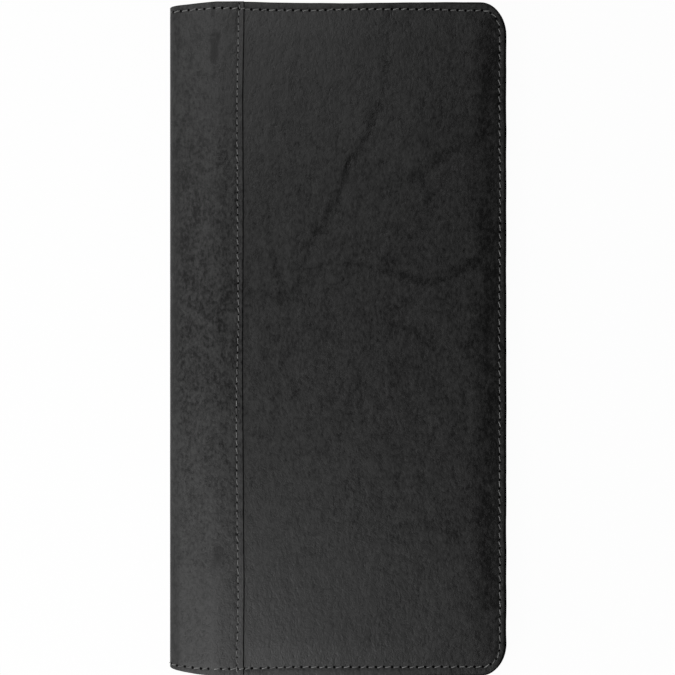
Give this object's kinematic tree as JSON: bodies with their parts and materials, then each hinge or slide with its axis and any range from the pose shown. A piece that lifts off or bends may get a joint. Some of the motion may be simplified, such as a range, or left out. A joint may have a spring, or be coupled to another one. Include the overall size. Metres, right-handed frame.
{
  "type": "travel document holder",
  "caption": "Tall folding leather case for a passport, tickets and cards, with a lapped spine strip, stiffened covers and sewn inner pockets.",
  "frame": {"origin": "middle of the bottom of the box of the shut case, on the outer face of the back cover", "axes": "+X from the spine to the free edge, +Y up the covers, +Z from the back cover to the front cover"},
  "size_m": [0.118, 0.236, 0.0152],
  "materials": {
    "cover_leather": "black smooth-grain leather, soft satin",
    "pocket_leather": "black thin leather, matt",
    "lining_cloth": "black woven cloth",
    "stiffener_board": "pressed grey-brown card"
  },
  "bodies": {
    "back": {"back_panel": "cover_leather", "strip_back": "cover_leather", "back_board": "stiffener_board", "lining_back": "lining_cloth", "ticket_pocket": "pocket_leather", "passport_pocket": "pocket_leather"},
    "spine": {"strip_spine": "cover_leather", "lining_spine": "lining_cloth"},
    "front": {"front_panel": "cover_leather", "strip_front": "cover_leather", "front_board": "stiffener_board", "lining_front": "lining_cloth", "card_page": "pocket_leather", "card_slot_1": "pocket_leather", "card_slot_2": "pocket_leather", "card_slot_3": "pocket_leather", "card_slot_4": "pocket_leather", "slip_pocket": "pocket_leather"}
  },
  "joints": [
    {"name": "back_fold", "type": "hinge", "parent": "back", "child": "spine", "pos_m": [-0.05811, 0, 0.004], "axis": [0, -1, 0], "range_deg": [0, 90]},
    {"name": "front_fold", "type": "hinge", "parent": "spine", "child": "front", "pos_m": [-0.05811, 0, 0.0112], "axis": [0, -1, 0], "range_deg": [0, 90]}
  ],
  "couplings": [
    {"joint": "front_fold", "follows": "back_fold", "ratio": 1}
  ]
}
